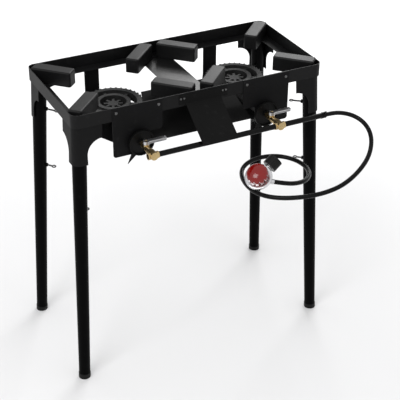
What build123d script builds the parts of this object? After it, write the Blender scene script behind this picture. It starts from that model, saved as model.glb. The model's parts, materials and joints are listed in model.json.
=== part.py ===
"""Two-burner propane stand: a rail frame on four telescoping legs, with cast burners, gas valves and hose."""
from build123d import *
from math import atan2, cos, degrees, hypot, pi, radians, sin, sqrt, tan
import os

os.makedirs("parts", exist_ok=True)

# Overall sizes. The frame stands over the origin: X along it, Y to the back, Z up from the floor.
frame_length = 768
frame_width = 357
frame_top = 866

# Rail frame
rail_height = 39
rail_wall = 2
rail_corner_radius = 20
flange_width = 35

# Legs and their corner brackets
leg_top_radius = 21
leg_seam_radius = 19.4
leg_foot_radius = 16.9
leg_wall = 1.6
seam_distance = 303
plug_length = 62
leg_spread_x = 36.4
leg_spread_y = 34.1
leg_clearance = 0.3
slide_clearance = 0.15
bracket_thickness = 2.2
bracket_inset = 2.2
bracket_wing = 81.5
bracket_drop = 113
bracket_foot_width = 35.5
bracket_arc_radius = 46
bracket_arc_rise = 27
cap_wall = 1
cap_height = 15
cap_floor = 4

# Thumb screws
upper_screw_distance = 90
middle_screw_distance = 279
shank_radius = 2.5
thread_clearance = 0.05
nut_across = 10
nut_height = 5
upper_screw_reach = 24
middle_screw_reach = 15
eye_radius = 5.4
eye_wire_radius = 1.9

# Pot fingers
finger_length = 120.6
finger_width = 40
finger_rise = 6.5
finger_sheet = 2
finger_bend_radius = 5
finger_corner_radius = 6
finger_wall_gap = 0.1
finger_end_y = 158

# Burners
burner_x = 194.6
burner_drop = 73
ring_outer_radius = 82
ring_inner_radius = 68
ring_depth = 24
tooth_count = 35
tooth_size = (4.2, 9, 7)
inner_ring_outer = 50
inner_ring_inner = 38
spoke_width = 9
spoke_count = 6
hub_radius = 15
hub_arm_length = 27
hub_arm_width = 7
hub_arm_count = 8
hub_drop = 8
bowl_wall = 4
mixing_tube_radius = 19
mixing_tube_wall = 3
mixing_tube_drop = 112
mixing_tube_reach = 7
boss_radius = 8
boss_spacing = 88
bolt_radius = 3
boss_hole_depth = 16
bolt_head_across = 10
bolt_head_height = 4

# Burner carriers
carrier_sheet = 2.5
carrier_drop = 134
carrier_back_width = 45
carrier_plate_width = 144
carrier_plate_back = 75
carrier_plate_front = 80
carrier_tab_width = 50
carrier_back_inset = 14

# Control panels, shields and their screws
panel_sheet = 2
panel_left = 272
panel_step = 165
panel_right = 125
panel_deep = 150
panel_shallow = 90
panel_corner_radius = 8
panel_screw_inset = 11
screw_drop = 15
screw_head_radius = 4.6
screw_head_height = 2.6
screw_shank_radius = 2
strip_half_width = 47
strip_sheet = 1.5
shield_sheet = 1.5
shield_half_width = 54
shield_top_half_width = 74
shield_bend_drop = 33
shield_reach = 290
shield_lip_drop = 111
shield_screw_x = (59, 69)
deflector_sheet = 1.5
deflector_back = 44
deflector_front = 176
deflector_drop = 126
deflector_half_widths = (128, 156)

# Valves, air shutters and manifold
valve_drop = 113
shutter_radius = 37.7
shutter_front = 198
shutter_depth = 8
shutter_sheet = 1.6
shutter_teeth = 48
shutter_tab_length = 34
shutter_tab_angle = 235
shutter_tab_half_width = 9
shutter_clearance = 0.06
spud_radius = 6
spud_hex = 15
valve_radius = 9
lever_y = 225
lever_length = 60
lever_width = 15
lever_height = 9
lever_hub_radius = 9
lever_drop = 92
stem_radius = 4
lever_clearance = 0.05
tee_radius = 12.5
pipe_radius = 7.75
pipe_y = 268.5
pipe_drop = 115
pipe_left = -204
pipe_right = 340
clamp_width = 11
clamp_wall = 1.2
clamp_ear = (5, 4, 10)

# Regulator, at the hose's end: its axis leans from upright towards a heading, both in degrees
regulator_at = (95.4, -331.6, 645.6)
regulator_lean = 37.4
regulator_lean_heading = 221.4
regulator_radius = 39
regulator_flange = 10
regulator_bowl_radius = 28
regulator_bowl_height = 14
knob_radius = 31
knob_height = 33
knob_gap = 0.4
knob_flutes = 12
knob_flute_radius = 5
bonnet_radius = 24
outlet_radius = 7.5
outlet_length = 20
tank_heading = 20
tank_arm_radius = 10
tank_nut_start = 42
tank_nut_radius = 21
tank_nut_length = 30
tank_nut_ribs = 24
tank_nut_web = 12
tank_thread_radius = 16.5
stem_nose_radius = 5
nut_clearance = 0.06

# Hose, as points along its route; its first point is at the manifold's end
hose_radius = 6.5
hose_route = [
    (340, -268.5, 751), (371, -268.5, 751), (400, -273, 747), (425, -287, 741), (442, -310, 732),
    (447, -340, 720), (439, -371, 706), (419, -401, 691), (392, -427, 678), (358, -448, 666),
    (319, -464, 653), (275, -473, 641), (231, -469, 631), (189, -455, 623), (151, -434, 616),
    (117, -409, 611), (91, -377, 607), (78, -337, 604), (78, -291, 603), (90, -245, 603),
    (112, -211, 604), (143, -191, 606), (177, -184, 607), (209, -188, 608), (238, -201, 608),
    (260, -221, 607), (275, -247, 606), (281, -277, 605), (276, -309, 605), (258, -340, 607),
    (229, -364, 612), (195, -373, 618), (163, -371, 625), (131, -358, 632),
]

half_length = frame_length / 2
half_width = frame_width / 2
rail_bottom = frame_top - rail_height
flange_top = rail_bottom + rail_wall
front_face = -half_width
corners = {"front_left": (-1, -1), "front_right": (1, -1), "back_left": (-1, 1), "back_right": (1, 1)}
sides = {"left": -1, "right": 1}
pieces = {}


def upright(radius, height, at=(0, 0, 0)):
    """A cylinder standing on a point."""
    return Pos(*at) * Cylinder(radius, height, align=(Align.CENTER, Align.CENTER, Align.MIN))


def block(x_range, y_range, z_range):
    """A box between pairs of limits."""
    spans = [(min(r), max(r)) for r in (x_range, y_range, z_range)]
    sizes = [high - low for low, high in spans]
    return Pos(*[low for low, high in spans]) * Box(*sizes, align=(Align.MIN, Align.MIN, Align.MIN))


def rod(start, direction, radius, length):
    """A cylinder from a point along a direction."""
    return extrude(Plane(origin=start, z_dir=direction) * Circle(radius), length)


def slab(length, width, radius, bottom, height):
    """A level plate with rounded corners, centred on the frame."""
    return extrude(Plane.XY.offset(bottom) * RectangleRounded(length, width, radius), height)


def side_profile(points, half_span, middle=0):
    """A solid whose outline in the YZ plane runs across X."""
    face = make_face(Plane.YZ * Polyline(*points, close=True))
    return Pos(middle, 0, 0) * extrude(face, half_span, both=True)


# Rail frame: an upright wall with an inward flange at its foot
def rail_frame():
    outer = slab(frame_length, frame_width, rail_corner_radius, rail_bottom, rail_height)
    inside = (frame_length - 2 * rail_wall, frame_width - 2 * rail_wall, rail_corner_radius - rail_wall)
    hollow = slab(*inside, flange_top, rail_height)
    window = slab(frame_length - 2 * flange_width, frame_width - 2 * flange_width, 6, rail_bottom - 1, rail_height)
    rails = outer - hollow - window
    for x, _ in rail_screw_places():
        rails -= rod((x, front_face - 1, frame_top - screw_drop), (0, 1, 0), screw_shank_radius, rail_wall + 2)
    return rails


def rail_screw_places():
    """Each rail screw's X, and how far its head stands off the rail."""
    panel = [side * (edge + inset) for side in (-1, 1)
             for edge, inset in ((panel_left, -panel_screw_inset), (panel_right, panel_screw_inset))]
    shield = [side * x for side in (-1, 1) for x in shield_screw_x]
    return [(x, panel_sheet) for x in panel] + [(x, shield_sheet) for x in shield]


# Legs lean outward from points just under the rail's corners
leg_inset = bracket_inset + bracket_thickness + leg_clearance + leg_top_radius
leg_drop = Vector(leg_spread_x, leg_spread_y, -rail_bottom)
leg_run = leg_drop.length


def leg_axis(corner):
    """The leg's top point and the unit vector down along it."""
    sx, sy = corner
    top = Vector(sx * (half_length - leg_inset), sy * (half_width - leg_inset), rail_bottom)
    down = Vector(sx * leg_drop.X, sy * leg_drop.Y, leg_drop.Z).normalized()
    return top, down


def inward(corner):
    """The unit vector across the leg, towards the frame's middle."""
    sx, sy = corner
    _, down = leg_axis(corner)
    diagonal = Vector(-sx, -sy, 0).normalized()
    return (diagonal - down * diagonal.dot(down)).normalized()


def leg_radius(distance):
    """The leg's outer radius at a distance from its top: it tapers to the seam, then to the foot."""
    if distance <= seam_distance:
        return leg_top_radius + (leg_seam_radius - leg_top_radius) * distance / seam_distance
    share = (distance - seam_distance) / (leg_run - seam_distance)
    return leg_seam_radius + (leg_foot_radius - leg_seam_radius) * share


def leg_cone(corner, start, end, inset=0):
    """A tapered solid along the leg, a wall inside its surface."""
    top, down = leg_axis(corner)
    plane = Plane(origin=top + down * start, z_dir=down)
    bottom_radius = leg_radius(end) - inset
    cone = Cone(leg_radius(start) - inset, bottom_radius, end - start,
                align=(Align.CENTER, Align.CENTER, Align.MIN))
    return plane * cone


def screw_seat(corner, distance):
    """Where a thumb screw's nut sits on the leg, and the direction it points."""
    top, down = leg_axis(corner)
    across = inward(corner)
    return top + down * distance + across * leg_radius(distance), across


def upper_leg(corner):
    tube = leg_cone(corner, 1, seam_distance) - leg_cone(corner, 0, seam_distance + 1, leg_wall)
    tube -= block((-half_length * 2, half_length * 2), (-half_width * 2, half_width * 2),
                  (rail_bottom - leg_clearance, frame_top))
    for distance in (upper_screw_distance, middle_screw_distance):
        seat, across = screw_seat(corner, distance)
        nut_plane = Plane(origin=seat - across * leg_wall / 2, z_dir=across)
        tube += extrude(nut_plane * RegularPolygon(nut_across / 2, 6, major_radius=False),
                        nut_height + leg_wall / 2)
        reach = leg_wall * 2 + nut_height + 2
        tube -= rod(seat - across * (leg_wall * 2), across, shank_radius + thread_clearance, reach)
    seat, across = screw_seat(corner, upper_screw_distance)
    return tube - rod(seat, -across, shank_radius + thread_clearance, leg_top_radius * 3)


def plug_radius():
    return leg_seam_radius - leg_wall - slide_clearance


def lower_leg(corner):
    top, down = leg_axis(corner)
    cap_inside = leg_run - cap_floor
    tube = leg_cone(corner, seam_distance + leg_clearance, cap_inside)
    tube += rod(top + down * (seam_distance - plug_length), down, plug_radius(), plug_length + 8)
    bore = leg_radius(cap_inside) - leg_wall
    return tube - rod(top + down * (seam_distance - plug_length - 1), down, bore, leg_run)


def foot_cap(corner):
    top, down = leg_axis(corner)
    inside = leg_cone(corner, leg_run - cap_height - 1, leg_run - cap_floor)
    start = top + down * (leg_run - cap_height)
    cap = rod(start, down, leg_radius(leg_run - cap_height) + cap_wall, cap_height + cap_floor)
    reach = cap_height * 2
    floor = Pos(top.X + down.X * leg_run, top.Y + down.Y * leg_run, 0)
    return cap - inside - floor * block((-reach, reach), (-reach, reach), (-reach, 0))


def corner_bracket(corner):
    """An L of sheet, rounded round the leg, its lower edge cut back in an arc on each wing."""
    sx, sy = corner
    edge_x = half_length - bracket_inset
    edge_y = half_width - bracket_inset
    bend = leg_top_radius + leg_clearance + bracket_thickness
    outer = Rectangle(edge_x, edge_y, align=(Align.MIN, Align.MIN))
    outer = fillet(outer.vertices().sort_by(Axis.X)[-2:].sort_by(Axis.Y)[-1], bend)
    inner = Rectangle(edge_x - bracket_thickness, edge_y - bracket_thickness, align=(Align.MIN, Align.MIN))
    inner = fillet(inner.vertices().sort_by(Axis.X)[-2:].sort_by(Axis.Y)[-1], bend - bracket_thickness)
    keep = Pos(edge_x - bracket_wing, edge_y - bracket_wing) * Rectangle(
        bracket_wing, bracket_wing, align=(Align.MIN, Align.MIN))
    section = (outer - inner) & keep
    slant = Vector(leg_drop.X, leg_drop.Y, leg_drop.Z)
    amount = bracket_drop * leg_run / rail_bottom
    sheet = extrude(Plane.XY.offset(rail_bottom) * section, amount, dir=slant)
    arc_height = rail_bottom - bracket_drop + bracket_arc_rise
    for along_x in (True, False):
        edge = edge_x if along_x else edge_y
        axis = (0, 1, 0) if along_x else (1, 0, 0)
        across = edge_y - 20 if along_x else edge_x - 20
        centre = edge - bracket_foot_width - bracket_arc_radius
        span = (centre - 20, edge - bracket_foot_width)
        height = (rail_bottom - bracket_drop - 20, arc_height)
        depth = (across, across + 60)
        at = (centre, across, arc_height) if along_x else (across, centre, arc_height)
        sheet -= rod(at, axis, bracket_arc_radius, 60)
        sheet -= block(span, depth, height) if along_x else block(depth, span, height)
    return sheet if (sx, sy) == (1, 1) else flipped(sheet, sx, sy)


def flipped(shape, sx, sy):
    """The same piece at another corner."""
    if sx < 0:
        shape = shape.mirror(Plane.YZ)
    if sy < 0:
        shape = shape.mirror(Plane.XZ)
    return shape


def thumb_screw(corner, distance, reach, tip_radius):
    """A threaded rod with an eye of bent wire."""
    seat, across = screw_seat(corner, distance)
    axis_point = seat - across * leg_radius(distance)
    length = leg_radius(distance) + nut_height + reach - tip_radius
    shank = rod(axis_point + across * tip_radius, across, shank_radius, length)
    eye_at = seat + across * (nut_height + reach + eye_radius)
    _, down = leg_axis(corner)
    return shank + Plane(origin=eye_at, z_dir=down) * Torus(eye_radius, eye_wire_radius)


# Pot fingers: closed inverted channels set on the diagonals
def pot_finger(burner_side, corner):
    sx, sy = corner
    outer = Box(finger_length, finger_width, finger_rise + rail_height - rail_wall,
                align=(Align.MIN, Align.CENTER, Align.MIN))
    outer = fillet(outer.edges().filter_by(Axis.Z), finger_corner_radius)
    outer = fillet(outer.faces().sort_by(Axis.Z)[-1].edges(), finger_bend_radius)
    wall = finger_sheet
    inner = Pos(wall, 0, 0) * Box(finger_length - 2 * wall, finger_width - 2 * wall,
                                  finger_rise + rail_height - rail_wall - wall,
                                  align=(Align.MIN, Align.CENTER, Align.MIN))
    inner = fillet(inner.edges().filter_by(Axis.Z), finger_corner_radius - wall)
    inner = fillet(inner.faces().sort_by(Axis.Z)[-1].edges(), finger_bend_radius - wall)
    corner_reach = (finger_width / 2) / sqrt(2) - (sqrt(2) - 1) * finger_corner_radius
    end_x = half_length - rail_wall - finger_wall_gap - corner_reach
    if sx < 0:
        end_x = 2 * burner_x - end_x
    heading = atan2(-sy, -sx)
    channel = Pos(end_x, sy * finger_end_y, flange_top) * Rot(0, 0, degrees(heading)) * (outer - inner)
    return channel if burner_side > 0 else channel.mirror(Plane.YZ)


# Burners: two slotted rings over a bowl, fed by a mixing tube
def ring(outer, inner, bottom, height):
    return upright(outer, height, (0, 0, bottom)) - upright(inner, height + 2, (0, 0, bottom - 1))


def burner(side):
    top = frame_top - burner_drop
    ring_bottom = top - ring_depth
    body = ring(ring_outer_radius, ring_inner_radius, ring_bottom, ring_depth)
    width, length, height = tooth_size
    for i in range(tooth_count):
        tooth = Pos(ring_outer_radius - 5, 0, top - height) * Box(
            length, width, height, align=(Align.MIN, Align.CENTER, Align.MIN))
        body += Rot(0, 0, 360 * i / tooth_count) * tooth
    inner_bottom = ring_bottom - bowl_wall
    body += ring(inner_ring_outer, inner_ring_inner, inner_bottom, ring_depth + 2)
    for i in range(spoke_count):
        spoke = Pos(inner_ring_outer - 3, 0, ring_bottom + 2) * Box(
            ring_inner_radius - inner_ring_outer + 6, spoke_width, ring_depth - 8,
            align=(Align.MIN, Align.CENTER, Align.MIN))
        body += Rot(0, 0, 30 + 360 * i / spoke_count) * spoke
    body += upright(inner_ring_outer, bowl_wall, (0, 0, inner_bottom))
    hub_top = top - hub_drop
    body += upright(hub_radius, hub_top - inner_bottom, (0, 0, inner_bottom))
    for i in range(hub_arm_count):
        arm = Pos(0, 0, hub_top - 6) * Box(hub_arm_length, hub_arm_width, 6,
                                           align=(Align.MIN, Align.CENTER, Align.MIN))
        body += Rot(0, 0, 22.5 + 360 * i / hub_arm_count) * arm
    tube_height = frame_top - mixing_tube_drop
    tube_end = front_face - mixing_tube_reach
    body += rod((0, tube_end, tube_height), (0, 1, 0), mixing_tube_radius, -tube_end + 12)
    body += upright(mixing_tube_radius, inner_bottom - tube_height + 1, (0, 0, tube_height))
    plate_top = frame_top - carrier_drop
    for sign in (-1, 1):
        body += upright(boss_radius, inner_bottom - plate_top + 1, (sign * boss_spacing / 2, 0, plate_top))
    mouth = mixing_tube_radius - mixing_tube_wall
    body -= rod((0, tube_end - 1, tube_height), (0, 1, 0), mouth, -tube_end)
    for sign in (-1, 1):
        body -= upright(bolt_radius, boss_hole_depth, (sign * boss_spacing / 2, 0, plate_top))
    return Pos(side * burner_x, 0, 0) * body


def burner_carrier(side):
    """A bent strip from the back rail under the burner, with a tab to the front panel."""
    plate_top = frame_top - carrier_drop
    plate_bottom = plate_top - carrier_sheet
    back = half_width - rail_wall - carrier_back_inset
    half_plate = carrier_plate_width / 2
    half_back = carrier_back_width / 2
    half_tab = carrier_tab_width / 2
    front = front_face + rail_wall + 1
    outline = Polyline(
        (-half_back, back), (half_back, back), (half_plate, carrier_plate_back),
        (half_plate, -carrier_plate_front), (half_tab, front), (-half_tab, front),
        (-half_plate, -carrier_plate_front), (-half_plate, carrier_plate_back), close=True)
    plate = extrude(Plane.XY.offset(plate_bottom) * make_face(outline), carrier_sheet, dir=(0, 0, 1))
    strap = block((-half_back, half_back), (back - carrier_sheet, back), (plate_bottom, rail_bottom))
    tube_room = mixing_tube_radius + 1.5
    tab = block((-half_tab, half_tab), (front, front + carrier_sheet), (plate_bottom, rail_bottom))
    tab -= rod((0, front - 1, frame_top - mixing_tube_drop), (0, 1, 0), tube_room, carrier_sheet + 2)
    shape = plate + strap + tab
    for sign in (-1, 1):
        shape -= upright(bolt_radius + 0.5, carrier_sheet + 2, (sign * boss_spacing / 2, 0, plate_bottom - 1))
    return Pos(side * burner_x, 0, 0) * shape


def burner_bolts():
    """Two hex bolts up into each burner's bosses."""
    head_top = frame_top - carrier_drop - carrier_sheet
    bolts = []
    for side in sides.values():
        for sign in (-1, 1):
            x = side * burner_x + sign * boss_spacing / 2
            head = extrude(Plane((x, 0, head_top - bolt_head_height)) * RegularPolygon(
                bolt_head_across / 2, 6, major_radius=False), bolt_head_height)
            bolts.append(head + upright(bolt_radius, carrier_sheet + boss_hole_depth - 2, (x, 0, head_top)))
    return Compound(children=bolts)


# Sheet parts on the front
def control_panel(side):
    """A stepped plate: its deep part is outboard, with a hole for the mixing tube."""
    top = frame_top
    corner = panel_corner_radius
    outline = Polyline(
        (-panel_left, top), (-panel_left, top - panel_deep), (-panel_step, top - panel_deep),
        (-panel_step, top - panel_shallow), (-panel_right, top - panel_shallow), (-panel_right, top), close=True)
    face = Plane.XZ * make_face(outline)
    rounded = [v for v in face.vertices() if v.Z < top - 1]
    plate = Pos(0, front_face, 0) * extrude(fillet(rounded, corner), panel_sheet, dir=(0, -1, 0))
    hole = (-burner_x, front_face + 1, frame_top - mixing_tube_drop)
    plate -= rod(hole, (0, -1, 0), mixing_tube_radius + 1, panel_sheet + 2)
    for x in (panel_left - panel_screw_inset, panel_right + panel_screw_inset):
        plate -= rod((-x, front_face + 1, top - screw_drop), (0, -1, 0), screw_shank_radius, panel_sheet + 2)
    return plate if side < 0 else plate.mirror(Plane.YZ)


def rail_screws():
    screws = []
    for x, stand_off in rail_screw_places():
        at = (x, front_face - stand_off, frame_top - screw_drop)
        radius = screw_head_radius if stand_off == panel_sheet else screw_head_radius * 0.75
        head = rod(at, (0, -1, 0), radius, screw_head_height)
        head = fillet(head.edges().sort_by(Axis.Y)[0], screw_head_height * 0.6)
        screws.append(head + rod(at, (0, 1, 0), screw_shank_radius, stand_off + rail_wall + 1.5))
    return Compound(children=screws)


def centre_strip():
    reach = half_width - rail_wall - 1
    return block((-strip_half_width, strip_half_width), (-reach, reach), (rail_bottom - strip_sheet, rail_bottom))


def front_shield():
    """A plate on the rail's face that bends out and down over the manifold."""
    bend_z = frame_top - shield_bend_drop
    lip_z = frame_top - shield_lip_drop
    slope = hypot(shield_reach + front_face, bend_z - lip_z)
    lean_y = (bend_z - lip_z) / slope * shield_sheet
    lean_z = (shield_reach + front_face) / slope * shield_sheet
    top_z = frame_top - 4
    upright_part = block((-shield_top_half_width, shield_top_half_width), (front_face, front_face - shield_sheet),
                         (top_z, bend_z))
    hood = side_profile([(front_face, bend_z), (-shield_reach, lip_z), (-shield_reach - lean_y, lip_z + lean_z),
                         (front_face - shield_sheet, bend_z + lean_z)], shield_half_width)
    shield = upright_part + hood
    for side in (-1, 1):
        for x in shield_screw_x:
            shield -= rod((side * x, front_face + 1, frame_top - screw_drop), (0, -1, 0),
                          screw_shank_radius, shield_sheet + 2)
    return shield


def heat_deflector():
    """A sloping plate under the strip, wider towards the front."""
    top_z = rail_bottom - strip_sheet
    low_z = frame_top - deflector_drop
    back_half, front_half = deflector_half_widths
    slab_part = side_profile([(-deflector_back, top_z), (-deflector_front, low_z),
                              (-deflector_front, low_z - deflector_sheet * 1.2),
                              (-deflector_back, top_z - deflector_sheet * 1.2)], front_half)
    outline = Polyline((-back_half, -deflector_back), (back_half, -deflector_back),
                       (front_half, -deflector_front), (-front_half, -deflector_front), close=True)
    return slab_part & extrude(Plane.XY.offset(low_z - 10) * make_face(outline), frame_top - low_z, dir=(0, 0, 1))


# Gas line
valve_height = frame_top - valve_drop


def air_shutter(side):
    """A dished toothed disc with a pointed tab, turning on the spud."""
    disc = Cylinder(shutter_radius, shutter_depth) - Pos(0, 0, shutter_sheet) * Cylinder(
        shutter_radius - shutter_sheet * 2, shutter_depth)
    for i in range(shutter_teeth):
        angle = 2 * pi * i / shutter_teeth
        disc -= Pos(shutter_radius * cos(angle), shutter_radius * sin(angle)) * Cylinder(1.1, shutter_depth)
    tip = shutter_radius + shutter_tab_length
    root = shutter_radius - 4
    outline = Polyline((root, -shutter_tab_half_width), (tip, 0), (root, shutter_tab_half_width), close=True)
    tab = extrude(make_face(outline), shutter_sheet)
    disc += Rot(0, 0, shutter_tab_angle) * Pos(0, 0, -shutter_depth / 2) * tab
    disc += Pos(0, 0, -shutter_depth / 2) * upright(spud_radius + 4, shutter_depth)
    disc -= Cylinder(spud_radius + shutter_clearance, shutter_depth + 2)
    face = Plane(origin=(side * burner_x, -shutter_front + shutter_depth / 2, valve_height),
                 x_dir=(1, 0, 0), z_dir=(0, -1, 0))
    return face * disc


def gas_valve(side):
    """Brass body: orifice spud, hex, barrel, stem boss and a tee round the manifold."""
    x = side * burner_x
    spud_tip = shutter_front - shutter_depth - 9
    body = rod((x, -spud_tip, valve_height), (0, -1, 0), spud_radius, shutter_front - spud_tip + 1)
    hexagon = Plane(origin=(x, -shutter_front - 0.5, valve_height), z_dir=(0, -1, 0))
    body += extrude(hexagon * RegularPolygon(spud_hex / 2, 6, major_radius=False), 12)
    body += rod((x, -shutter_front - 8, valve_height), (0, -1, 0), valve_radius, pipe_y - shutter_front - 10)
    stem_top = frame_top - lever_drop - 1
    lever_bottom = frame_top - lever_drop - lever_height
    body += upright(lever_hub_radius - 1, lever_bottom - 0.4 - valve_height, (x, -lever_y, valve_height))
    body += upright(stem_radius, stem_top - valve_height, (x, -lever_y, valve_height))
    body += rod((x, -pipe_y + tee_radius + 2, valve_height), (0, -1, 0), tee_radius - 1, 2 * tee_radius + 1)
    for sign in (-1, 1):
        body += rod((x, -pipe_y, frame_top - pipe_drop), (sign, 0, 0), pipe_radius + 2.2, tee_radius + 3)
    body -= rod((x - 30, -pipe_y, frame_top - pipe_drop), (1, 0, 0), pipe_radius, 60)
    return body - rod((x, -spud_tip + 1, valve_height), (0, -1, 0), 1, 20)


def valve_lever(side):
    bottom = frame_top - lever_drop - lever_height
    at = (side * burner_x, -lever_y, bottom)
    hub = upright(lever_hub_radius, lever_height)
    bar = block((0, lever_length), (-lever_width / 2, lever_width / 2), (2, lever_height))
    bar = fillet(bar.edges().filter_by(Axis.Z).sort_by(Axis.X)[-2:], lever_width / 2 - 1)
    bar = fillet(bar.faces().sort_by(Axis.Z)[-1].edges().sort_by(Axis.X)[1:], 1.5)
    lever = hub + bar - Pos(0, 0, -1) * upright(stem_radius + lever_clearance, lever_height + 2)
    return Pos(*at) * lever


def manifold_pipe():
    return rod((pipe_left, -pipe_y, frame_top - pipe_drop), (1, 0, 0), pipe_radius, pipe_right - pipe_left)


def hose_clamp():
    x = pipe_right - clamp_width / 2
    at = (x, -pipe_y, frame_top - pipe_drop)
    outer = pipe_radius + clamp_wall
    band = rod(at, (1, 0, 0), outer, clamp_width) - rod(at, (1, 0, 0), pipe_radius, clamp_width)
    length, width, height = clamp_ear
    for angle in (35, 215):
        ear = Pos(x + clamp_width / 2, -pipe_y, frame_top - pipe_drop) * Rot(angle, 0, 0) * Pos(
            0, 0, outer - 0.5) * Box(length, width, height, align=(Align.CENTER, Align.CENTER, Align.MIN))
        band += ear
    return band


def hose():
    """Straight runs joined by tangent arcs, each as large as its two runs allow."""
    points = [Vector(*p) for p in hose_route]
    points[0] = Vector(pipe_right, -pipe_y, frame_top - pipe_drop)
    radii = []
    for before, at, after in zip(points, points[1:], points[2:]):
        turn = radians((at - before).get_angle(after - at))
        shorter = min((at - before).length, (after - at).length)
        radii.append(0.45 * shorter / tan(turn / 2))
    print("hose radii", [round(r) for r in radii])
    path = FilletPolyline(*points, radius=radii)
    tube = sweep(Plane(origin=path @ 0, z_dir=path % 0) * Circle(hose_radius), path=path)
    print("hose length", round(path.length), "volume ratio", tube.volume / (pi * hose_radius**2 * path.length))
    return tube


# Regulator
lean = radians(regulator_lean)
lean_heading = radians(regulator_lean_heading)
regulator_axis = Vector(sin(lean) * cos(lean_heading), sin(lean) * sin(lean_heading), cos(lean))
regulator_plane = Plane(origin=regulator_at, z_dir=regulator_axis)


def tank_arm():
    """Where the tank arm leaves the regulator's axis, and its direction square to that axis."""
    level = Vector(cos(radians(tank_heading)), sin(radians(tank_heading)), 0)
    out = (level - regulator_axis * level.dot(regulator_axis)).normalized()
    return Vector(*regulator_at) - regulator_axis * regulator_flange, out


def regulator_body():
    """A flanged bowl with a bonnet, a hose outlet and an arm to the tank connector."""
    flange = upright(regulator_radius, regulator_flange, (0, 0, -regulator_flange))
    flange = fillet(flange.edges().filter_by(GeomType.CIRCLE), 3)
    bottom = -regulator_flange - regulator_bowl_height
    bowl = upright(regulator_bowl_radius, regulator_bowl_height + 2, (0, 0, bottom))
    bowl = fillet(bowl.edges().filter_by(GeomType.CIRCLE).sort_by(Axis.Z)[0], 4)
    body = regulator_plane * (flange + bowl + upright(bonnet_radius, knob_height * 0.5, (0, 0, -1)))
    end, before = Vector(*hose_route[-1]), Vector(*hose_route[-2])
    body += rod(end, end - before, outlet_radius, outlet_length)
    start, out = tank_arm()
    body += rod(start, out, tank_arm_radius, tank_nut_start - 1)
    return body + rod(start, out, stem_nose_radius, tank_nut_start + tank_nut_web)


def regulator_knob():
    knob = upright(knob_radius, knob_height)
    knob = fillet(knob.edges().filter_by(GeomType.CIRCLE).sort_by(Axis.Z)[-1], 12)
    for i in range(knob_flutes):
        angle = 2 * pi * i / knob_flutes
        reach = knob_radius + 3
        knob -= upright(knob_flute_radius, knob_height - 8, (reach * cos(angle), reach * sin(angle), -1))
    bonnet_top = knob_height * 0.5 - 1
    knob -= upright(bonnet_radius + 0.3, bonnet_top + 1 + knob_gap, (0, 0, -1))
    return regulator_plane * Pos(0, 0, knob_gap) * knob


def tank_nut():
    """A ribbed hand nut on the regulator's inlet arm."""
    start, out = tank_arm()
    nut = upright(tank_nut_radius, tank_nut_length)
    nut -= upright(tank_thread_radius, tank_nut_length, (0, 0, tank_nut_web))
    for i in range(tank_nut_ribs):
        angle = 2 * pi * i / tank_nut_ribs
        place = (tank_nut_radius + 0.4) * cos(angle), (tank_nut_radius + 0.4) * sin(angle)
        nut -= upright(1.6, tank_nut_length - 6, (*place, 3))
    nut -= upright(stem_nose_radius + nut_clearance, tank_nut_length, (0, 0, -1))
    return Plane(origin=start + out * tank_nut_start, z_dir=out) * nut


for name, corner in corners.items():
    pieces[f"{name}_corner_bracket"] = corner_bracket(corner)
    pieces[f"{name}_upper_leg"] = upper_leg(corner)
    pieces[f"{name}_lower_leg"] = lower_leg(corner)
    pieces[f"{name}_foot_cap"] = foot_cap(corner)
    upper_tip = -(leg_top_radius - 0.2)
    pieces[f"{name}_upper_thumb_screw"] = thumb_screw(
        corner, upper_screw_distance, upper_screw_reach, upper_tip)
    pieces[f"{name}_middle_thumb_screw"] = thumb_screw(
        corner, middle_screw_distance, middle_screw_reach, plug_radius() + 0.1)

for side_name, side in sides.items():
    for corner_name, corner in corners.items():
        pieces[f"{side_name}_burner_finger_{corner_name}"] = pot_finger(side, corner)
    pieces[f"{side_name}_burner"] = burner(side)
    pieces[f"{side_name}_burner_carrier"] = burner_carrier(side)
    pieces[f"{side_name}_control_panel"] = control_panel(side)
    pieces[f"{side_name}_air_shutter"] = air_shutter(side)
    pieces[f"{side_name}_gas_valve"] = gas_valve(side)
    pieces[f"{side_name}_valve_lever"] = valve_lever(side)

pieces["rail_frame"] = rail_frame()
pieces["rail_screws"] = rail_screws()
pieces["burner_bolts"] = burner_bolts()
pieces["centre_strip"] = centre_strip()
pieces["front_shield"] = front_shield()
pieces["heat_deflector"] = heat_deflector()
pieces["manifold_pipe"] = manifold_pipe()
pieces["hose_clamp"] = hose_clamp()
pieces["hose"] = hose()
pieces["regulator_body"] = regulator_body()
pieces["regulator_knob"] = regulator_knob()
pieces["tank_nut"] = tank_nut()

# The origin is the middle of the stand's box on the floor, so the frame sits back of it
hanging = ("hose", "hose_clamp", "regulator_body", "regulator_knob", "tank_nut")
boxes = [shape.bounding_box() for name, shape in pieces.items() if name not in hanging]
set_back = -(min(b.min.Y for b in boxes) + max(b.max.Y for b in boxes)) / 2
print("frame set back by", round(set_back, 3))
for name, shape in pieces.items():
    export_step(Pos(0, set_back, 0) * shape, f"parts/{name}.step")
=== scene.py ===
"""Looks of a two-burner propane stand: materials, hose, regulator knob, camera and light."""
import json
from math import cos, pi, radians, sin

import bmesh
import bpy
from mathutils import Matrix, Vector

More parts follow.
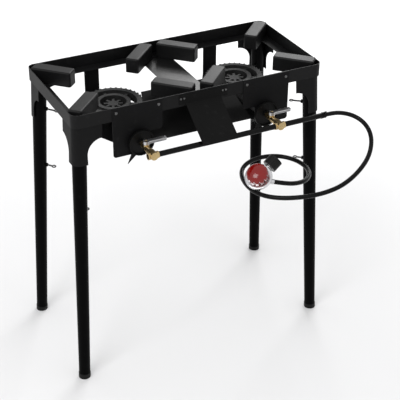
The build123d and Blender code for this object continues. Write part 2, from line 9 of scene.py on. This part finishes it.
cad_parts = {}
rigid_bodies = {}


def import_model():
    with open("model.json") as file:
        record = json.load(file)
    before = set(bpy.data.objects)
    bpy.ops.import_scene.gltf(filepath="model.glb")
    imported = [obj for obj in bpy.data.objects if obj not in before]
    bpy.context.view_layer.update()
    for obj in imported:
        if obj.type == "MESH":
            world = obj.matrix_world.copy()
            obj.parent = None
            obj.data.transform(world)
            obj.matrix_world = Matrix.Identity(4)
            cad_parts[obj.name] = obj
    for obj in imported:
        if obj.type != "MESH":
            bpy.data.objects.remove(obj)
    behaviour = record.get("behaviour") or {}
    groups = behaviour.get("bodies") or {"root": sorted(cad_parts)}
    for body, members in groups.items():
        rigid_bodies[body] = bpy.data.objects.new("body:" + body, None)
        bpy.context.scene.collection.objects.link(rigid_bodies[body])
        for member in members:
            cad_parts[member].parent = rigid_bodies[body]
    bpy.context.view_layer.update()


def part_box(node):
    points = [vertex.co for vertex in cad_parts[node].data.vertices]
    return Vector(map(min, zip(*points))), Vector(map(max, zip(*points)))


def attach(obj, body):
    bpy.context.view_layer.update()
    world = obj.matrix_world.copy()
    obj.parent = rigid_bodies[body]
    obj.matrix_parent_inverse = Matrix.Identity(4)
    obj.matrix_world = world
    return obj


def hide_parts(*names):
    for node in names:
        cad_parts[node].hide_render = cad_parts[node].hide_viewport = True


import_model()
scene = bpy.context.scene

# The stand's own middle line
rail_low, rail_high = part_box("rail_frame")
middle_y = (rail_low[1] + rail_high[1]) / 2
corners = ("front_left", "front_right", "back_left", "back_right")
sides = ("left", "right")


# Camera and light
def add_camera(place, heading, tilt, roll, lens):
    data = bpy.data.cameras.new("camera")
    data.lens = lens
    data.sensor_width = 36
    camera = bpy.data.objects.new("camera", data)
    scene.collection.objects.link(camera)
    turn = Matrix.Rotation(-heading, 4, "Z") @ Matrix.Rotation(pi / 2 - tilt, 4, "X")
    camera.matrix_world = Matrix.Translation(place) @ turn @ Matrix.Rotation(roll, 4, "Z")
    scene.camera = camera


def add_area_light(name, place, target, size, power):
    data = bpy.data.lights.new(name, "AREA")
    data.shape = "RECTANGLE"
    data.size, data.size_y = size
    data.energy = power
    light = bpy.data.objects.new(name, data)
    scene.collection.objects.link(light)
    aim = (Vector(target) - Vector(place)).to_track_quat("-Z", "Y")
    light.matrix_world = Matrix.Translation(place) @ aim.to_matrix().to_4x4()


add_camera(
    place=(-1.2599, middle_y - 2.6362, 2.2187), heading=radians(27.01), tilt=radians(31.77),
    roll=0.009, lens=100.5)


# Node helpers
class Value:
    """A socket that works in Python expressions."""

    def __init__(self, shade, socket):
        self.shade, self.socket = shade, socket

    def _maths(self, operation, *values):
        return self.shade.node("ShaderNodeMath", {"operation": operation}, dict(enumerate(values)))

    def __add__(self, other):
        return self._maths("ADD", self, other)

    __radd__ = __add__

    def __mul__(self, other):
        return self._maths("MULTIPLY", self, other)

    __rmul__ = __mul__

    def above(self, edge, softness):
        """0 below the edge, 1 above it, blended over the softness."""
        low, high = edge - softness, edge + softness
        return self.shade.node("ShaderNodeMapRange", {"interpolation_type": "SMOOTHSTEP"},
                               {"Value": self, "From Min": low, "From Max": high})


class Shade:
    """One material's nodes."""

    def __init__(self, name):
        self.material = bpy.data.materials.new(name)
        self.material.use_nodes = True
        self.tree = self.material.node_tree
        self.tree.nodes.clear()
        self.surface = self.tree.nodes.new("ShaderNodeBsdfPrincipled")
        output = self.tree.nodes.new("ShaderNodeOutputMaterial")
        self.tree.links.new(self.surface.outputs[0], output.inputs[0])
        self.place = self.node("ShaderNodeTexCoord", {}, {}, "Object")

    def put(self, socket, value):
        if isinstance(value, Value):
            self.tree.links.new(value.socket, socket)
        elif value is not None:
            socket.default_value = value

    def node(self, kind, settings, inputs, output=0):
        made = self.tree.nodes.new(kind)
        for key, value in settings.items():
            setattr(made, key, value)
        for key, value in inputs.items():
            self.put(made.inputs[key], value)
        return Value(self, made.outputs[output])

    def noise(self, scale, detail=3, roughness=0.5, stretch=(1, 1, 1)):
        place = self.node("ShaderNodeMapping", {}, {"Vector": self.place, "Scale": stretch})
        return self.node("ShaderNodeTexNoise", {}, {
            "Vector": place, "Scale": scale, "Detail": detail, "Roughness": roughness})

    def colours(self, amount, dark, light):
        return self.node("ShaderNodeMix", {"data_type": "RGBA"}, {
            0: amount, 6: (*dark, 1), 7: (*light, 1)}, 2)

    def blend(self, amount, under, over):
        return self.node("ShaderNodeMix", {"data_type": "RGBA"}, {
            0: amount, 6: under, 7: (*over, 1)}, 2)

    def bump(self, height, distance):
        return self.node("ShaderNodeBump", {}, {
            "Height": height, "Distance": distance, "Strength": 1.0})

    def finish(self, **sockets):
        for name, value in sockets.items():
            self.put(self.surface.inputs[name.replace("_", " ")], value)
        return self.material


def powder_coat(name, dark, light, rough, gloss):
    shade = Shade(name)
    cloud = shade.noise(9, 4)
    fine = shade.noise(900, 2)
    rubbed = shade.noise(60, 5)
    colour = shade.colours(cloud, dark, light)
    dust = rubbed.above(0.66, 0.08)
    colour = shade.blend(dust * 0.3, colour, tuple(c * 2.2 + 0.002 for c in light))
    return shade.finish(
        Base_Color=colour, Roughness=rough + cloud * 0.12 + fine * 0.08,
        Specular_IOR_Level=gloss, Normal=shade.bump(fine, 0.00012))


def enamel(name, dark, light, rough):
    shade = Shade(name)
    cloud = shade.noise(5, 3)
    flow = shade.noise(70, 2)
    return shade.finish(
        Base_Color=shade.colours(cloud, dark, light), Roughness=rough + flow * 0.08,
        Coat_Weight=0.08, Coat_Roughness=0.12, Specular_IOR_Level=0.14, Normal=shade.bump(flow, 0.0002))


def casting(name):
    shade = Shade(name)
    sand = shade.noise(420, 5, 0.7)
    lumps = shade.noise(60, 3)
    colour = shade.colours(lumps, (0.004, 0.004, 0.004), (0.02, 0.02, 0.02))
    colour = shade.blend(sand.above(0.6, 0.1) * 0.4, colour, (0.07, 0.07, 0.07))
    return shade.finish(
        Base_Color=colour, Metallic=0.35, Roughness=0.5 + sand * 0.25,
        Normal=shade.bump(sand + lumps * 0.6, 0.0007))


def metal(name, dark, light, rough, grain_stretch=(1, 1, 30)):
    shade = Shade(name)
    brushed = shade.noise(140, 4, 0.6, grain_stretch)
    cloud = shade.noise(18, 3)
    return shade.finish(
        Base_Color=shade.colours(cloud, dark, light), Metallic=1.0,
        Roughness=rough + brushed * 0.2, Normal=shade.bump(brushed, 0.0001))


def plastic(name, dark, light, rough, coat=0.0, gloss=0.2):
    shade = Shade(name)
    cloud = shade.noise(30, 3)
    grain = shade.noise(1100, 2)
    return shade.finish(
        Base_Color=shade.colours(cloud, dark, light), Roughness=rough + grain * 0.1,
        Coat_Weight=coat, Coat_Roughness=0.08, Specular_IOR_Level=gloss, Normal=shade.bump(grain, 0.00008))


def rubber(name):
    shade = Shade(name)
    cloud = shade.noise(14, 4)
    grain = shade.noise(700, 2)
    return shade.finish(
        Base_Color=shade.colours(cloud, (0.002, 0.002, 0.002), (0.005, 0.005, 0.005)),
        Roughness=0.22 + cloud * 0.1, Specular_IOR_Level=0.1, Normal=shade.bump(grain, 0.0001))


black = (0.003, 0.003, 0.0032)
soft_black = (0.007, 0.007, 0.0074)
finishes = {
    "rail": powder_coat("rail_powder_coat", black, soft_black, 0.4, gloss=0.13),
    "bracket": powder_coat("bracket_powder_coat", black, soft_black, 0.42, gloss=0.09),
    "leg": powder_coat("leg_powder_coat", (0.0008, 0.0008, 0.0009), (0.002, 0.002, 0.0021), 0.3, gloss=0.03),
    "finger": powder_coat("finger_enamel", (0.004, 0.004, 0.004), (0.008, 0.008, 0.0084), 0.32, gloss=0.14),
    "panel": powder_coat("panel_powder_coat", black, soft_black, 0.4, gloss=0.07),
    "shield": powder_coat("shield_matt_paint", (0.005, 0.005, 0.005), (0.008, 0.008, 0.008), 0.5, gloss=0.05),
    "strip": enamel("strip_gloss_enamel", (0.003, 0.003, 0.003), (0.009, 0.009, 0.009), 0.3),
    "carrier": powder_coat("carrier_paint", black, soft_black, 0.45, gloss=0.05),
    "shutter": powder_coat("shutter_paint", (0.002, 0.002, 0.002), (0.006, 0.006, 0.006), 0.35, gloss=0.1),
    "pipe": powder_coat("pipe_black", (0.001, 0.001, 0.001), (0.003, 0.003, 0.003), 0.18, gloss=0.12),
    "iron": casting("burner_iron"),
    "brass": metal("valve_brass", (0.3, 0.2, 0.08), (0.72, 0.56, 0.3), 0.18, (1, 1, 1)),
    "lever": metal("lever_aluminium", (0.42, 0.42, 0.43), (0.7, 0.7, 0.71), 0.25),
    "screw": metal("screw_black_zinc", (0.05, 0.05, 0.05), (0.14, 0.14, 0.14), 0.12, (1, 1, 1)),
    "wire": metal("eye_wire", (0.03, 0.03, 0.03), (0.1, 0.1, 0.1), 0.2, (1, 1, 1)),
    "regulator": metal("regulator_casting", (0.5, 0.5, 0.52), (0.8, 0.8, 0.81), 0.14, (1, 1, 1)),
    "knob": plastic("knob_red", (0.13, 0.0015, 0.001), (0.24, 0.004, 0.003), 0.1, 0.35, 0.3),
    "nut": plastic("nut_black", (0.003, 0.003, 0.003), (0.008, 0.008, 0.008), 0.25),
    "foot": plastic("foot_black", (0.002, 0.002, 0.002), (0.005, 0.005, 0.005), 0.5),
    "hose": rubber("hose_rubber"),
}


node_finish = {
    "rail_frame": "rail", "rail_screws": "screw", "burner_bolts": "screw", "centre_strip": "strip",
    "front_shield": "shield", "heat_deflector": "strip", "manifold_pipe": "pipe", "hose_clamp": "pipe",
    "regulator_body": "regulator", "regulator_knob": "knob", "tank_nut": "nut"}
for corner in corners:
    node_finish[f"{corner}_corner_bracket"] = "bracket"
    node_finish[f"{corner}_upper_leg"] = "leg"
    node_finish[f"{corner}_lower_leg"] = "leg"
    node_finish[f"{corner}_foot_cap"] = "foot"
    node_finish[f"{corner}_upper_thumb_screw"] = "wire"
    node_finish[f"{corner}_middle_thumb_screw"] = "wire"
for side in sides:
    node_finish[f"{side}_burner"] = "iron"
    node_finish[f"{side}_burner_carrier"] = "carrier"
    node_finish[f"{side}_control_panel"] = "panel"
    node_finish[f"{side}_gas_valve"] = "brass"
    node_finish[f"{side}_air_shutter"] = "shutter"
    node_finish[f"{side}_valve_lever"] = "lever"
    for corner in corners:
        node_finish[f"{side}_burner_finger_{corner}"] = "finger"
for node, finish in node_finish.items():
    piece = bpy.data.objects[node]
    piece.data.materials.clear()
    piece.data.materials.append(finishes[finish])


# Regulator knob: its axis leans from upright towards a heading
def revolved(name, outline, rim, segments):
    """A mesh turned about Z from (radius, height) pairs; rim(angle, height) scales its radius."""
    mesh = bpy.data.meshes.new(name)
    shape = bmesh.new()
    rings = []
    for radius, height in outline:
        ring = []
        for i in range(segments):
            angle = 2 * pi * i / segments
            reach = radius * rim(angle, height)
            ring.append(shape.verts.new((reach * cos(angle), reach * sin(angle), height)))
        rings.append(ring)
    for low, high in zip(rings, rings[1:]):
        for i in range(segments):
            j = (i + 1) % segments
            shape.faces.new((low[i], low[j], high[j], high[i]))
    shape.faces.new(tuple(reversed(rings[0])))
    shape.faces.new(tuple(rings[-1]))
    for face in shape.faces:
        face.smooth = len(face.verts) == 4
    shape.to_mesh(mesh)
    shape.free()
    piece = bpy.data.objects.new(name, mesh)
    scene.collection.objects.link(piece)
    return piece


knob_lean = radians(37.4)
knob_heading = radians(221.4)
knob_at = Vector((0.0954, middle_y - 0.3316, 0.6456))


def add_knob():
    """A domed, fluted hand knob on the regulator's leaning axis."""
    height = 0.0332
    shoulder = 0.017
    radius = 0.0308
    flutes = 12
    flute_depth = 0.1
    flute_top = 0.023
    flute_fade = 0.006
    dome_steps = 12
    outline = [(radius * 0.93, 0.0006), (radius, 0.003), (radius, shoulder)]
    for i in range(1, dome_steps + 1):
        turn = pi / 2 * i / dome_steps
        outline.append((max(radius * cos(turn), 0.0004), shoulder + (height - shoulder) * sin(turn)))

    def rim(angle, level):
        wave = max(0.0, cos(flutes * angle)) ** 1.5
        return 1 - flute_depth * wave * min(1.0, max(0.0, (flute_top - level) / flute_fade))

    piece = revolved("domed_knob", outline, rim, 144)
    piece.data.materials.append(finishes["knob"])
    axis = Vector((sin(knob_lean) * cos(knob_heading), sin(knob_lean) * sin(knob_heading), cos(knob_lean)))
    piece.matrix_world = Matrix.Translation(knob_at) @ axis.to_track_quat("Z", "Y").to_matrix().to_4x4()
    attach(piece, "regulator_knob")
    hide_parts("regulator_knob")
    return piece


# Hose: one smooth curve along its route, from the stand's middle line
hose_route = [
    (340, -268.5, 751), (371, -268.5, 751), (400, -273, 747), (425, -287, 741), (442, -310, 732),
    (447, -340, 720), (439, -371, 706), (419, -401, 691), (392, -427, 678), (358, -448, 666),
    (319, -464, 653), (275, -473, 641), (231, -469, 631), (189, -455, 623), (151, -434, 616),
    (117, -409, 611), (91, -377, 607), (78, -337, 604), (78, -291, 603), (90, -245, 603),
    (112, -211, 604), (143, -191, 606), (177, -184, 607), (209, -188, 608), (238, -201, 608),
    (260, -221, 607), (275, -247, 606), (281, -277, 605), (276, -309, 605), (258, -340, 607),
    (229, -364, 612), (195, -373, 618), (163, -371, 625), (131, -358, 632),
]


hose_radius = 0.0065


def add_hose():
    points = [Vector((x / 1000, y / 1000 + middle_y, z / 1000)) for x, y, z in hose_route]
    curve = bpy.data.curves.new("hose", "CURVE")
    curve.dimensions = "3D"
    spline = curve.splines.new("NURBS")
    spline.points.add(len(points) - 1)
    for point, place in zip(spline.points, points):
        point.co = (*place, 1)
    spline.order_u = 3
    spline.use_endpoint_u = True
    spline.resolution_u = 10
    curve.bevel_depth = hose_radius
    curve.bevel_resolution = 5
    curve.use_fill_caps = True
    curve.materials.append(finishes["hose"])
    piece = bpy.data.objects.new("rubber_hose", curve)
    scene.collection.objects.link(piece)
    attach(piece, "stand")
    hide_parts("hose")
    on_it = [bpy.data.objects[n] for n in ("regulator_body", "regulator_knob", "tank_nut")] + [add_knob()]


add_hose()


# Floor and light
def add_floor():
    shade = Shade("studio_floor")
    cloud = shade.noise(1.5, 2)
    # Painted shade: the floor is blended to a darker grey (0.74) in a wide pool around its centre beneath the
    # stand, fully dark within about 0.67 m and fading to the pale tone about 3 m out.
    painted_shade_spread = shade.node("ShaderNodeMapping", {}, {"Vector": shade.place, "Scale": (0.3, 0.3, 1)})
    painted_shade_pool = shade.node("ShaderNodeTexGradient", {"gradient_type": "SPHERICAL"}, {"Vector": painted_shade_spread})
    pale = shade.colours(cloud, (0.93, 0.93, 0.93), (0.95, 0.95, 0.95))
    shade.finish(Base_Color=shade.blend(painted_shade_pool.above(0.45, 0.35), pale, (0.74, 0.74, 0.745)), Roughness=0.9)
    mesh = bpy.data.meshes.new("floor")
    reach = 14
    mesh.from_pydata([(-reach, -reach, 0), (reach, -reach, 0), (reach, reach, 0), (-reach, reach, 0)],
                     [], [(0, 1, 2, 3)])
    mesh.materials.append(shade.material)
    floor = bpy.data.objects.new("floor", mesh)
    floor.location.z = -0.0005
    scene.collection.objects.link(floor)


add_floor()
world = bpy.data.worlds.new("studio")
world.use_nodes = True
world.node_tree.nodes["Background"].inputs[0].default_value = (1, 1, 1, 1)
world.node_tree.nodes["Background"].inputs[1].default_value = 0.9
scene.world = world
scene.view_settings.view_transform = "Standard"
add_area_light("key", (-2.6, middle_y - 1.6, 3.4), (0, middle_y, 0.7), (1.8, 1.8), 60)
add_area_light("back_right", (2.2, middle_y + 2.4, 2.6), (0, middle_y, 0.8), (2.2, 1.4), 70)
